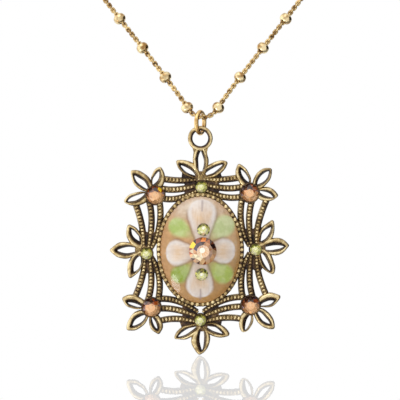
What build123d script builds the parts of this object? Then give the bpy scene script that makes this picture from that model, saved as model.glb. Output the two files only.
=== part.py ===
from build123d import *
from collections import namedtuple
import math
import os

# Crystal necklace: a satellite chain, a jump ring and a pierced pendant with an oval cabochon.
# Millimetres. X is to the right, the front faces -Y and +Z is up. The origin is the point at the
# nape where the necklace sits on the neck.

# Neck loop
chain_diameter = 1.1
front_run = 2.5          # level stretch at the bottom of the V, which carries the jump ring
loop_depth = 120.0       # from the nape forward to the bottom of the V
loop_drop = 104.0        # from the nape down to the bottom of the V
bead_diameter = 2.8
bead_length = 1.9
bead_pitch = 8.8
bead_sides = 12
bead_band = 0.4          # share of a bead's length that is its widest band
bead_shoulder = 0.72     # a bead's diameter at its ends, as a share of its widest
bead_clearance = 0.12    # between a bead's bore and the chain

# Clasp
clasp_length = 9.0
clasp_diameter = 3.2
eye_diameter = 2.4
eye_wire = 0.6
chain_end_gap = 0.1      # between the chain's end and the clasp's eye
arc_share = 0.45         # of the shorter run beside a point of the route, how much its arc takes

# Jump ring
ring_diameter = 5.8
ring_wire = 1.0
ring_turn = 68.0         # degrees that the ring is turned from facing the front
ring_slide = -0.55       # where the ring sits on the level stretch, from its middle
hang_clearance = 0.12    # between the ring and what it hangs from or carries

# Pendant, seen from the front with the cabochon's centre at (0, 0)
plate_thickness = 0.9
relief_height = 0.6
relief_inset = 0.2       # how far the relief stands in from the plate's edges
bail_diameter = 5.6
bail_wire = 1.05
bail_height = 25.04      # from the cabochon's centre up to the bail ring's centre
bail_forward = 0.55      # how far the bail ring's wire stands forward of the plate's middle
corner_x = 10.9          # from the centre line to a corner stone
corner_z = 12.65
side_x = 12.35           # from the centre to the stones left and right
side_z = 15.0            # from the centre to the stones above and below
strand_width = 1.4
strand_fan = 5.6         # spread of three strands where they reach a corner
web_reach = 0.37         # share of a strand's run that has a solid web

# Petals
petal_fan = 64.0         # degrees between the petals of a side
petal_length = 6.8
middle_width = 4.1
flank_width = 3.5
petal_hole = 1.05        # width of the hole in each petal
petal_tip = 1.2          # from the hole to the petal's tip
petal_root = 1.25        # from the petals' hub to the hole
corner_fan = 58.0        # degrees between the petals of a corner
corner_length = 7.8      # of the diagonal petal, from the stone's centre
corner_flank = 6.7       # of the petals beside it
corner_base = 1.0        # from the stone's centre to the petals' bases, which it covers
corner_root = 2.45       # from the stone's centre to the petals' holes
hub_rim = 0.8            # metal round a side stone's seat, where its petals meet
neck_width = 3.6         # of the plate below the bail ring

# Cabochon and its collar
cabochon_width = 18.0
cabochon_height = 24.0
cabochon_edge = 1.1      # height of its straight side
cabochon_dome = 3.1      # height of its dome above that side
cabochon_gap = 0.06
collar_width = 0.8
collar_height = 1.2      # above the plate

# Cut stones
centre_diameter = 6.2
centre_height = 2.2
accent_diameter = 2.7
accent_height = 1.1
corner_diameter = 3.9
corner_height = 1.5
side_diameter = 2.4
side_height = 1.0
table_share = 0.52       # of a stone's diameter
girdle_share = 0.16      # of a stone's height
main_facets = 8          # round a stone's crown, with as many lesser ones between them
corner_cut_share = 1.18  # of the table, how far out the lesser facets meet it
seat_gap = 0.05
seat_wall = 0.35
seat_depth = 0.3

# Route of the chain's right half, chosen by hand, from the front to the nape
chain_route = [
    (front_run / 2, -loop_depth, -loop_drop),
    (28.2, -107.0, -70.0),
    (53.0, -89.0, -37.0),
    (60.0, -63.0, -14.0),
    (48.0, -26.0, -3.5),
    (24.0, -3.0, 0.3),
]

# Corner clusters: the stone's place in shares of corner_x and corner_z, and the diagonal petal's angle
Corner = namedtuple("Corner", "x z angle")
corners = {
    "upper_left": Corner(-0.93, 0.97, 135.0),
    "upper_right": Corner(1.02, 1.01, 49.5),
    "lower_left": Corner(-1.01, -1.03, 224.0),
    "lower_right": Corner(1.04, -0.99, 311.5),
}

# Side clusters: the stone's place in shares of side_x and side_z, the petals' hub from the stone in
# shares of petal_length, the angle of the middle petal, and the two corners that its strands run to,
# each with the outward shift of those strands in shares of strand_fan
Side = namedtuple("Side", "x z hub_x hub_z angle first first_shift second second_shift")
sides = {
    "top": Side(0.02, 0.94, -0.04, 0.325, 90.0, "upper_left", 0.11, "upper_right", 0.11),
    "right": Side(1.01, 0.0, 0.134, 0.057, 3.0, "upper_right", -0.04, "lower_right", -0.04),
    "bottom": Side(0.0, -1.06, 0.05, -0.182, 267.0, "lower_left", -0.11, "lower_right", -0.11),
    "left": Side(-0.98, -0.06, -0.191, 0.115, 180.0, "upper_left", 0.08, "lower_left", 0.01),
}

# Strands from a side stone to a corner stone: how far each lies outward of the line between the two,
# in shares of strand_fan, at four stations along that line
stations = (0.06, 0.30, 0.55, 0.90)
upright_strands = {
    "outer": (0.09, 0.16, 0.34, 0.72),
    "middle": (-0.12, -0.13, -0.09, 0.14),
    "inner": (-0.20, -0.39, -0.43, -0.28),
}
top_strands = {
    "outer": (0.22, 0.25, 0.33, 0.53),
    "middle": (0.00, -0.05, -0.04, 0.13),
    "inner": (-0.20, -0.36, -0.41, -0.26),
}
bottom_strands = {
    "outer": (0.22, 0.25, 0.35, 0.66),
    "middle": (0.00, -0.05, -0.04, 0.13),
    "inner": (-0.20, -0.36, -0.41, -0.26),
}
strands = {
    "top": top_strands,
    "right": upright_strands,
    "bottom": bottom_strands,
    "left": upright_strands,
}

os.makedirs("parts", exist_ok=True)

# Places that follow from the sizes above
ring_radius = (ring_diameter - ring_wire) / 2
bail_radius = (bail_diameter - bail_wire) / 2
front_level = -loop_drop
ring_top = front_level + chain_diameter / 2 + hang_clearance + ring_wire / 2
ring_centre = Vector(ring_slide, -loop_depth, ring_top - ring_radius)
ring_bottom = ring_top - 2 * ring_radius
bail_centre = ring_bottom + ring_wire / 2 + hang_clearance + bail_wire / 2 - bail_radius
pendant_level = bail_centre - bail_height
plate_back = -loop_depth + plate_thickness / 2 + bail_forward
collar_inner_x = cabochon_width / 2 + cabochon_gap
collar_inner_z = cabochon_height / 2 + cabochon_gap
cabochon_floor = plate_thickness + seat_gap
cabochon_girdle = cabochon_floor + cabochon_edge
eye_radius = (eye_diameter - eye_wire) / 2
eye_place = clasp_length / 2 + eye_radius
clasp_axis = clasp_diameter / 2
chain_end = eye_place + eye_diameter / 2 + chain_end_gap


def front_plane(height):
    """Plane that faces the front, at a height above the plate's back."""
    return Plane(
        origin=(ring_slide, plate_back - height, pendant_level),
        x_dir=(1, 0, 0),
        z_dir=(0, -1, 0),
    )


def pointed_oval(base, tip, width):
    """Lens between two points, the outline of a petal."""
    middle = (base + tip) / 2
    side = (tip - base).rotate(Axis.Z, 90).normalized() * (width / 2)
    with BuildSketch() as oval:
        with BuildLine():
            ThreePointArc(base, middle + side, tip)
            ThreePointArc(tip, middle - side, base)
        make_face()
    return oval.sketch


def polar(angle, length):
    """Vector of a given length at an angle in degrees."""
    return Vector(length, 0).rotate(Axis.Z, angle)


def corner_place(name):
    """Centre of a corner stone, from the cabochon's centre."""
    return Vector(corners[name].x * corner_x, corners[name].z * corner_z)


def side_place(name):
    """Centre of a side stone, from the cabochon's centre."""
    return Vector(sides[name].x * side_x, sides[name].z * side_z)


def hub_place(name):
    """Point where the petals of a side meet."""
    return side_place(name) + Vector(sides[name].hub_x, sides[name].hub_z) * petal_length


Petal = namedtuple("Petal", "base tip width hole_base hole_tip")


def petals():
    """Every petal with the ends of its hole."""
    rows = []
    for name, side in sides.items():
        hub = hub_place(name)
        for turn, width in ((-petal_fan, flank_width), (0, middle_width), (petal_fan, flank_width)):
            angle = side.angle + turn
            hole = [hub + polar(angle, reach) for reach in (petal_root, petal_length - petal_tip)]
            rows.append(Petal(hub, hub + polar(angle, petal_length), width, *hole))
    for name, corner in corners.items():
        place = corner_place(name)
        for turn, length in ((-corner_fan, corner_flank), (0, corner_length), (corner_fan, corner_flank)):
            angle = corner.angle + turn
            ends = [place + polar(angle, reach) for reach in (corner_base, length)]
            hole = [place + polar(angle, reach) for reach in (corner_root, length - petal_tip)]
            rows.append(Petal(*ends, flank_width, *hole))
    return rows


def strand_points(side, corner, shares, shift):
    """The four points of a strand from a side stone to a corner stone."""
    start = side_place(side)
    end = corner_place(corner)
    outward = polar(90 * round(sides[side].angle / 90), 1)
    points = []
    for station, share in zip(stations, shares):
        points.append(start + (end - start) * station + outward * (share + shift) * strand_fan)
    return points


def half_sides():
    """Each stretch between a side stone and a corner stone, with its table of strands."""
    rows = []
    for name, side in sides.items():
        rows.append((name, side.first, strands[name], side.first_shift))
        rows.append((name, side.second, strands[name], side.second_shift))
    return rows


def strand(points, width):
    """Rib along two tangent arcs through a strand's points."""
    with BuildLine() as path:
        first = ThreePointArc(points[0], points[1], points[2])
        TangentArc(points[2], points[3], tangent=first % 1)
    with BuildSketch() as rib:
        SlotArc(path.wire(), width)
    return rib.sketch


def web(side, corner, table, shift):
    """Plate between the strands where they run together beside a side stone."""
    outer = strand_points(side, corner, table["outer"], shift)
    inner = strand_points(side, corner, table["inner"], shift)
    share = (web_reach - stations[1]) / (stations[2] - stations[1])
    outer_end = outer[1] + (outer[2] - outer[1]) * share
    inner_end = inner[1] + (inner[2] - inner[1]) * share
    with BuildSketch() as plate:
        Polygon(outer[0], outer[1], outer_end, inner_end, inner[1], inner[0], align=None)
    return plate.sketch


def openwork(inset):
    """The pierced outline of the frame, drawn in by an inset from its edges."""
    neck_top = bail_height - bail_radius
    neck_middle = neck_top - neck_width / 4
    with BuildSketch() as outline:
        Ellipse(collar_inner_x + collar_width - inset, collar_inner_z + collar_width - inset)
        for name in corners:
            with Locations(corner_place(name)):
                Circle(corner_diameter / 2 + seat_wall - inset)
        for name in sides:
            with Locations(side_place(name)):
                Circle(side_diameter / 2 + seat_wall + hub_rim - inset)
        with Locations((0, neck_middle)):
            Rectangle(neck_width - 2 * inset, neck_width / 2)
        for petal in petals():
            drawn_in = (petal.tip - petal.base).normalized() * inset
            add(pointed_oval(petal.base + drawn_in, petal.tip - drawn_in, petal.width - 2 * inset))
        for side, corner, table, shift in half_sides():
            for shares in table.values():
                add(strand(strand_points(side, corner, shares, shift), strand_width - 2 * inset))
            if inset == 0:
                add(web(side, corner, table, shift))
        for petal in petals():
            hole = pointed_oval(petal.hole_base, petal.hole_tip, petal_hole + 2 * inset)
            add(hole, mode=Mode.SUBTRACT)
    return outline.sketch


def cut_stone(seat, diameter, height):
    """Flat-backed round stone with a girdle, main facets, as many lesser ones and a table."""
    girdle = height * girdle_share
    table = diameter * table_share / 2
    half_turn = 180 / main_facets
    girdle_apothem = diameter / 2 * math.cos(math.radians(half_turn / 2))
    with BuildPart() as crown:
        with BuildSketch(seat.offset(girdle)):
            RegularPolygon(girdle_apothem, main_facets, major_radius=False)
        with BuildSketch(seat.offset(height)):
            RegularPolygon(table, main_facets, major_radius=False)
        loft()
    with BuildPart() as corner_cut:
        with BuildSketch(seat.offset(girdle)):
            RegularPolygon(girdle_apothem, main_facets, major_radius=False, rotation=half_turn)
        with BuildSketch(seat.offset(height)):
            RegularPolygon(table * corner_cut_share, main_facets, major_radius=False, rotation=half_turn)
        loft()
    with BuildPart() as stone:
        add(crown.part)
        add(corner_cut.part, mode=Mode.INTERSECT)
        with BuildSketch(seat):
            RegularPolygon(diameter / 2, 2 * main_facets, rotation=half_turn / 2)
        extrude(amount=girdle)
    return stone


# Chain: one tube round the neck, straight runs joined by tangent arcs
right_half = [Vector(*point) for point in chain_route] + [Vector(chain_end, clasp_axis, 0)]
left_half = [Vector(-point.X, point.Y, point.Z) for point in reversed(right_half)]
loop_points = left_half + right_half
arc_radii = []
for before, corner, after in zip(loop_points, loop_points[1:], loop_points[2:]):
    turn = (corner - before).get_angle(after - corner)
    shorter = min((corner - before).length, (after - corner).length)
    arc_radii.append(arc_share * shorter / math.tan(math.radians(turn / 2)))
print("chain arc radii:", [round(radius, 1) for radius in arc_radii])

with BuildPart() as chain:
    with BuildLine() as chain_path:
        FilletPolyline(*loop_points, radius=arc_radii)
    with BuildSketch(Plane(origin=chain_path.line @ 0, z_dir=chain_path.line % 0)):
        Circle(chain_diameter / 2)
    sweep(path=chain_path.line)
chain.part.label = "chain"
chain_wire = chain_path.wire()
chain_length = chain_wire.length
print("chain length:", round(chain_length, 1), "volume per section:",
      round(chain.part.volume / (math.pi * chain_diameter ** 2 / 4), 1))

# Chain beads: drilled rondelles with twelve sides, at an even pitch and clear of the chain
bore_radius = chain_diameter / 2 + bead_clearance
shoulder_radius = bead_diameter * bead_shoulder / 2
bead_sections = [
    (-bead_length / 2, shoulder_radius),
    (-bead_length * bead_band / 2, bead_diameter / 2),
    (bead_length * bead_band / 2, bead_diameter / 2),
    (bead_length / 2, shoulder_radius),
]
with BuildPart() as bead:
    for level, radius in bead_sections:
        with BuildSketch(Plane.XY.offset(level)):
            RegularPolygon(radius, bead_sides)
    loft(ruled=True)
    with BuildSketch(Plane.XY.offset(-bead_length / 2)):
        RegularPolygon(bore_radius, bead_sides, major_radius=False)
    extrude(amount=bead_length, mode=Mode.SUBTRACT)

beads_per_side = int(chain_length / 2 / bead_pitch)
bead_places = []
for index in range(-beads_per_side, beads_per_side):
    share = 0.5 + (index + 0.5) * bead_pitch / chain_length
    bead_plane = Plane(origin=chain_wire @ share, z_dir=chain_wire % share)
    bead_places.append(bead_plane.location)
with BuildPart() as chain_beads:
    with Locations(*bead_places):
        add(bead.part)
chain_beads.part.label = "chain_beads"

# Clasp: a barrel across the nape with an eye at each end
with BuildPart() as clasp:
    with BuildSketch(Plane.XY):
        with BuildLine():
            Polyline(
                (-clasp_length / 2, clasp_axis),
                (-clasp_length / 2, clasp_axis + eye_radius),
                (-clasp_length / 3, 2 * clasp_axis),
                (clasp_length / 3, 2 * clasp_axis),
                (clasp_length / 2, clasp_axis + eye_radius),
                (clasp_length / 2, clasp_axis),
                close=True,
            )
        make_face()
    revolve(axis=Axis((0, clasp_axis, 0), (1, 0, 0)))
    with Locations((-eye_place, clasp_axis, 0), (eye_place, clasp_axis, 0)):
        Torus(eye_radius, eye_wire / 2)
clasp.part.label = "clasp"

# Jump ring
ring_normal = Vector(0, -1, 0).rotate(Axis.Z, ring_turn)
with BuildPart(Plane(origin=ring_centre, z_dir=ring_normal)) as jump_ring:
    Torus(ring_radius, ring_wire / 2)
jump_ring.part.label = "jump_ring"

# Pendant frame: pierced plate, relief, collar, stone seats and bail ring, cast in one
plate_outline = openwork(0)
relief_outline = openwork(relief_inset)
with BuildPart() as pendant_frame:
    with BuildSketch(front_plane(0)):
        add(plate_outline)
    extrude(amount=plate_thickness)
    with BuildSketch(front_plane(plate_thickness)):
        add(relief_outline)
    extrude(amount=relief_height)
    with BuildSketch(front_plane(0)):
        Ellipse(collar_inner_x + collar_width, collar_inner_z + collar_width)
    extrude(amount=plate_thickness + collar_height)
    with BuildSketch(front_plane(plate_thickness)):
        Ellipse(collar_inner_x, collar_inner_z)
    extrude(amount=collar_height, mode=Mode.SUBTRACT)
    with BuildSketch(front_plane(plate_thickness + relief_height - seat_depth)):
        for name in corners:
            with Locations(corner_place(name)):
                Circle(corner_diameter / 2 + seat_gap)
        for name in sides:
            with Locations(side_place(name)):
                Circle(side_diameter / 2 + seat_gap)
    extrude(amount=seat_depth, mode=Mode.SUBTRACT)
    with Locations(front_plane(plate_thickness / 2 + bail_forward)):
        with Locations((0, bail_height)):
            Torus(bail_radius, bail_wire / 2)
pendant_frame.part.label = "pendant_frame"

# Cabochon: an oval with a straight side and a dome, whose outline is a slice of a long round form
half_width = cabochon_width / 2
dome_radius = (half_width ** 2 + cabochon_dome ** 2) / (2 * cabochon_dome)
dome_length = dome_radius * cabochon_height / cabochon_width
dome_middle = front_plane(cabochon_girdle + cabochon_dome - dome_radius)


def dome_plane(x, z, sink):
    """Plane that lies on the dome above (x, z), sunk in by a depth."""
    stretch = dome_radius / dome_length
    height = math.sqrt(dome_radius ** 2 - x ** 2 - (z * stretch) ** 2)
    origin = dome_middle.from_local_coords(Vector(x, z, height))
    facing = dome_middle.from_local_coords(Vector(x, z * stretch ** 2, height)) - dome_middle.origin
    return Plane(origin=origin, x_dir=(1, 0, 0), z_dir=facing.normalized()).offset(-sink)


stone_seats = {
    "centre_stone": (0.55, -0.15, centre_diameter, centre_height),
    "cabochon_stone_upper": (0.7, 4.65, accent_diameter, accent_height),
    "cabochon_stone_lower": (0.3, -5.4, accent_diameter, accent_height),
}
with BuildPart() as dome:
    with BuildSketch(dome_middle):
        with BuildLine():
            EllipticalCenterArc((0, 0), dome_radius, dome_length, start_angle=-90, arc_size=180)
            Line((0, dome_length), (0, -dome_length))
        make_face()
    revolve(axis=Axis(dome_middle.origin, (0, 0, 1)))
    split(bisect_by=front_plane(cabochon_girdle), keep=Keep.TOP)
with BuildPart() as cabochon:
    with BuildSketch(front_plane(cabochon_floor)):
        Ellipse(cabochon_width / 2, cabochon_height / 2)
    extrude(amount=cabochon_edge)
    add(dome.part)
    for x, z, diameter, height in stone_seats.values():
        sink = (diameter / 2) ** 2 / (2 * dome_radius) + seat_gap
        with BuildSketch(dome_plane(x, z, sink)):
            Circle(diameter / 2 + seat_gap)
        extrude(amount=height, mode=Mode.SUBTRACT)
cabochon.part.label = "cabochon"

# Cut stones
stones = {}
for name, (x, z, diameter, height) in stone_seats.items():
    sink = (diameter / 2) ** 2 / (2 * dome_radius)
    stones[name] = cut_stone(dome_plane(x, z, sink), diameter, height)
frame_seat = plate_thickness + relief_height - seat_depth + seat_gap
for name in corners:
    place = corner_place(name)
    seat = front_plane(frame_seat).shift_origin(front_plane(frame_seat).from_local_coords(place))
    stones["corner_stone_" + name] = cut_stone(seat, corner_diameter, corner_height)
for name in sides:
    place = side_place(name)
    seat = front_plane(frame_seat).shift_origin(front_plane(frame_seat).from_local_coords(place))
    stones["side_stone_" + name] = cut_stone(seat, side_diameter, side_height)
for name, stone in stones.items():
    stone.part.label = name

for piece in (chain, chain_beads, clasp, jump_ring, pendant_frame, cabochon, *stones.values()):
    export_step(piece.part, "parts/" + piece.part.label + ".step")
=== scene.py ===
import bmesh
import bpy
import math
import random
from collections import namedtuple
from mathutils import Matrix, Vector, noise as space_noise


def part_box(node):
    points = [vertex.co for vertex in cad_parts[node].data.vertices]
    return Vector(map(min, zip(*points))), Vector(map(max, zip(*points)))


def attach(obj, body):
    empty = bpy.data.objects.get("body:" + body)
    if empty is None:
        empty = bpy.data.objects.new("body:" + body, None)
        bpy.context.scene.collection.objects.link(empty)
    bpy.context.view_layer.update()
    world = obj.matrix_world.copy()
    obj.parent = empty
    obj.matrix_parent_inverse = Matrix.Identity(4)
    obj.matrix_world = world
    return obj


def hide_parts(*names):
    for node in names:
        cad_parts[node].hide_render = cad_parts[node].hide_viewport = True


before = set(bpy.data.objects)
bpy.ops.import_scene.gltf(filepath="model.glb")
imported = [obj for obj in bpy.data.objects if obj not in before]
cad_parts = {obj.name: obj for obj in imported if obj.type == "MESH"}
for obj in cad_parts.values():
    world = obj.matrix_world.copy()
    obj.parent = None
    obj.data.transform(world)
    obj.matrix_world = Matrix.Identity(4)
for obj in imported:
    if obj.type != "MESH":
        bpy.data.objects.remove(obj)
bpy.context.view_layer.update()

# Crystal necklace: the finish of its chain, beads, ring, pierced pendant, cabochon and cut stones.
# Blender works in metres. The sizes below are millimetres, and MM turns them into metres.
MM = 0.001

# Camera
VIEW_WIDTH = 90.0
VIEW_TARGET = (-0.62, -120.0, -122.64)
CAMERA_DISTANCE = 900.0
CAMERA_ELEVATION = 2.0
SENSOR_WIDTH = 36.0

# Chain, with its route as in the part, from the front of the right half to the nape
CHAIN_ROUTE = [
    (2.2, -120.0, -104.05),
    (5.2, -118.1, -99.0),
    (28.2, -107.0, -70.0),
    (53.0, -89.0, -37.0),
    (60.0, -63.0, -14.0),
    (48.0, -26.0, -3.5),
    (24.0, -3.0, 0.3),
    (6.7, 1.6, 0.0),
]
LINK_PITCH = 0.733
LINK_WIRE = 0.42
LINK_WIDTH = 1.2
LINK_TURN = 6.0          # degrees that every other link is turned from facing the front
END_LINK_LENGTH = 2.2
END_LINK_WIDTH = 1.6
END_LINK_WIRE = 0.4
END_LINK_X = 6.7
END_LINK_ACROSS = (0.0, 0.6, 0.8)
FIRST_LINK = 1.1         # from the chain's end to the middle of its first link
BEAD_DIAMETER = 2.8
BEAD_LENGTH = 1.9
BEAD_BORE = 1.34
BEAD_DIMPLE = 0.12       # how deep the bore's edge lies in the bead's end
BEAD_PITCH = 8.8
BEAD_ARC = 62.0          # degrees of the outline's arc each side of its middle
BEAD_FLATNESS = 0.6      # 1 where the outline is a circle's, less where it is flatter

# Jump ring
RING_DIAMETER = 5.8
RING_WIRE = 1.0
RING_TURN = 68.0
RING_CUT = 3.0           # degrees of the gap where its ends meet
RING_CUT_ANGLE = 25.0    # and how far round it the gap ends

# Pendant, seen from the front with the cabochon's centre at (0, 0)
CAST_HEIGHT = 1.5
BACK_POLISH = 0.5        # polish of the flat back, as in the sections below
BACK_UNEVEN = 0.07       # how much the back of the casting varies in height
BAIL_DIAMETER = 5.6
BAIL_WIRE = 1.05
BAIL_HEIGHT = 25.04
BAIL_FORWARD = 1.0
BAIL_SHOULDER = [(1.66, 20.6), (1.52, 22.0), (1.85, 23.15), (1.1, 22.9), (0.9, 21.6)]
SHOULDER_DROP = 0.25     # from the casting's front to the shoulder's
SHOULDER_POLISH = 0.55
CORNER_X = 10.9
CORNER_Z = 12.65
SIDE_X = 12.35
SIDE_Z = 15.0
STRAND_FAN = 5.6
RIBBON_NARROW = 1.05     # width of a strand's cast band beside a side stone
RIBBON_WIDE = 1.5        # and from the end of its web to the corner
RIBBON_STEP = 0.225      # spacing of the band's sections
CURVE_SAMPLES = 60
WEB_REACH = 0.44
WEB_NOTCH = 0.55         # how deep the end of a web is cut in, in shares of its last stretch
WEB_HEIGHT = 0.72
WEB_POLISH = 0.14
WING_REACH = 0.66        # how far the web beside a petal reaches along it
WING_CLEAR = 0.15        # metal between that web and the petal's hole
GRAIN_SMALL = 0.66       # width of a strand's grains beside a side stone
GRAIN_LARGE = 1.04       # and where it reaches the corner
GRAIN_GROWTH = 0.7       # share of the strand over which they grow
GRAIN_PITCH = 0.78
GRAIN_FILL = 0.94        # greatest length of a grain, in shares of their pitch
GRAIN_LEVEL = 1.02
GRAIN_ROUND = 0.42       # height of a grain's dome, in shares of its width
GRAIN_ARC = (-50.0, 86.0)
GRAIN_LEAN = 0.09        # how far the grains stand off the strand's middle, towards the upper left
PETAL_LENGTH = 6.8
PETAL_CREST = 0.45       # place of the crest in a petal's section
PETAL_SWELL = 0.2        # how much wider a petal's rim is than its row says
PETAL_WANDER = 0.09      # how far its edge wanders, as cast and filed by hand
HOLE_TIP = 0.08          # radius of the tips of a petal's hole
HOLE_CLEAR = 0.3         # metal between a petal's hole and the end of a strand
CORNER_PETAL_INSET = 1.0
SIDE_PETAL_INSET = 0.03  # how much further out each petal of a side starts than the last
HUB_BOSS = 1.35          # radius of the boss where a side's petals meet
HUB_HEIGHT = 1.2
HUB_POLISH = 0.45

# Cabochon and its collar
CABOCHON_WIDTH = 18.0
CABOCHON_HEIGHT = 24.0
CABOCHON_FLOOR = 0.95
CABOCHON_GIRDLE = 2.05
CABOCHON_DOME = 3.1
DOME_RINGS = 96
DOME_SIDES = 240
COAT_VEIL = 0.02         # what the clear coat's reflection of a pale room adds to the paint
COLLAR_GAP = 0.06
COLLAR_WIDTH = 0.8
COLLAR_OVERLAP = 0.1     # how far the back plate goes under the collar
COLLAR_GRAIN = 0.98
COLLAR_GRAINS = 58
COLLAR_GRAIN_LEVEL = 2.0
COLLAR_GRAIN_OUT = 0.3   # from the collar's inner edge to the middle of its grains
PLATE_GAP = 0.05         # from the back plate to the cabochon
PLATE_POLISH = 0.3

# Cut stones, and their brilliant's crown in shares of a stone's radius and height
CENTRE_DIAMETER = 6.2
CENTRE_HEIGHT = 2.2
ACCENT_DIAMETER = 2.9
ACCENT_HEIGHT = 1.1
CORNER_DIAMETER = 4.05
CORNER_HEIGHT = 1.5
SIDE_DIAMETER = 2.6
SIDE_HEIGHT = 1.0
TABLE_RADIUS = 0.46
WAIST_RADIUS = 0.72
GIRDLE_LEVEL = 0.16
GLOW_ANGLE = 125.0       # where the pale glow seen through a table lies off its middle
GLOW_SHIFT = 0.22        # by this share of the table's radius
GLOW_RADIUS = 0.45
FACET_SHADES = (0.66, 1.24)
GLINT_SPREAD = 14.0      # degrees each side of a yellow glint

# Settings of the stones
SEAT_LEVEL = 1.25
SEAT_GAP = 0.05
CORNER_WALL = 0.28
CORNER_BEZEL = 1.65      # height of the bezel's edge
SIDE_WALL = 0.25
SIDE_BEZEL = 1.5

# Petals. Each row has the angle, the length from where the petals meet, the width, the width of the
# hole, how far out the hole starts, the metal beyond its end, how far the hole lies off the petal's
# middle (to its left seen along the petal), how many degrees it is turned from the petal, and the
# radius of the petal's tip.
Petal = namedtuple("Petal", "angle length width hole start end lean turn tip", defaults=(0.0, 0.5))
corner_petals = {
    "upper_left": [
        Petal(80.3, 6.45, 3.10, 1.10, 2.10, 1.05, 0.48, -18),
        Petal(134.5, 7.75, 3.25, 1.10, 2.25, 1.45, 0.30, 2),
        Petal(191.5, 7.10, 3.00, 0.95, 2.35, 0.85, -0.28, 14),
    ],
    "upper_right": [
        Petal(-5.0, 6.45, 3.10, 0.85, 2.00, 1.00, 0.02, -18),
        Petal(48.7, 7.40, 3.20, 1.30, 2.60, 0.90, -0.07),
        Petal(112.0, 6.95, 2.90, 0.85, 2.45, 1.45, -0.36, 10),
    ],
    "lower_left": [
        Petal(163.3, 6.95, 3.00, 0.62, 2.20, 1.60, 0.55, -3),
        Petal(223.5, 7.45, 3.30, 1.20, 2.25, 1.55, 0.27, -4),
        Petal(285.5, 6.35, 2.90, 0.60, 2.20, 1.35, -0.25, 10),
    ],
    "lower_right": [
        Petal(253.7, 6.45, 3.00, 0.90, 2.15, 0.75, 0.48, -4),
        Petal(315.0, 7.50, 3.20, 0.98, 2.15, 1.45, 0.03),
        Petal(375.7, 7.00, 3.00, 0.88, 2.05, 1.70, -0.58, 4),
    ],
}
side_petals = {
    "top": [
        Petal(29.7, 6.95, 3.00, 0.95, 0.75, 1.35, -0.08, 3),
        Petal(90.0, 6.85, 3.30, 1.25, 0.45, 1.15, 0.00, 0, 1.35),
        Petal(146.0, 6.60, 3.00, 0.85, 0.80, 1.55, 0.44, -3),
    ],
    "right": [
        Petal(64.7, 6.75, 3.00, 1.25, 1.25, 1.55, 0.20, -13),
        Petal(4.0, 6.70, 3.80, 1.05, 0.45, 1.25, -0.18, 1),
        Petal(-62.7, 6.55, 3.00, 0.90, 1.20, 1.05, -0.30),
    ],
    "bottom": [
        Petal(203.7, 6.85, 2.90, 0.90, 1.30, 0.95, -0.10, 6),
        Petal(265.5, 6.60, 4.05, 1.12, 0.70, 1.15, 0.27, 3),
        Petal(341.9, 6.50, 2.90, 0.86, 0.75, 1.60, 0.08, -7),
    ],
    "left": [
        Petal(115.9, 6.45, 2.90, 0.95, 1.80, 1.30, -0.36, 9),
        Petal(180.5, 7.00, 3.60, 1.28, 0.30, 1.75, -0.02, 2),
        Petal(248.0, 6.70, 2.90, 1.40, 1.30, 1.60, 0.42),
    ],
}

# Corner clusters: the stone's place in shares of CORNER_X and CORNER_Z
corners = {
    "upper_left": (-0.93, 0.97),
    "upper_right": (1.02, 1.01),
    "lower_left": (-1.01, -1.03),
    "lower_right": (1.04, -0.99),
}

# Side clusters: the stone's place in shares of SIDE_X and SIDE_Z, the petals' hub from the stone in
# shares of PETAL_LENGTH, the angle that the side faces, and the two corners that its strands run to,
# each with the outward shift of those strands in shares of STRAND_FAN
Side = namedtuple("Side", "x z hub_x hub_z angle first first_shift second second_shift")
sides = {
    "top": Side(0.02, 0.94, -0.02, 0.325, 90.0, "upper_left", 0.11, "upper_right", 0.11),
    "right": Side(1.01, 0.0, 0.134, 0.057, 0.0, "upper_right", -0.04, "lower_right", -0.04),
    "bottom": Side(0.0, -1.06, 0.05, -0.182, 270.0, "lower_left", -0.11, "lower_right", -0.11),
    "left": Side(-0.98, -0.06, -0.191, 0.115, 180.0, "upper_left", 0.08, "lower_left", 0.01),
}

# Strands from a side stone to a corner stone: how far each lies outward of the line between the two,
# in shares of STRAND_FAN, at four stations along that line
stations = (0.06, 0.30, 0.55, 0.90)
upright_strands = {
    "outer": (0.09, 0.16, 0.34, 0.72),
    "middle": (-0.12, -0.13, -0.09, 0.14),
    "inner": (-0.20, -0.39, -0.43, -0.28),
}
top_strands = {
    "outer": (0.22, 0.25, 0.33, 0.53),
    "middle": (0.00, -0.05, -0.04, 0.13),
    "inner": (-0.20, -0.36, -0.41, -0.26),
}
bottom_strands = {**top_strands, "outer": (0.22, 0.25, 0.35, 0.66)}
strands = {
    "top": top_strands,
    "right": upright_strands,
    "bottom": bottom_strands,
    "left": upright_strands,
}

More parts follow.
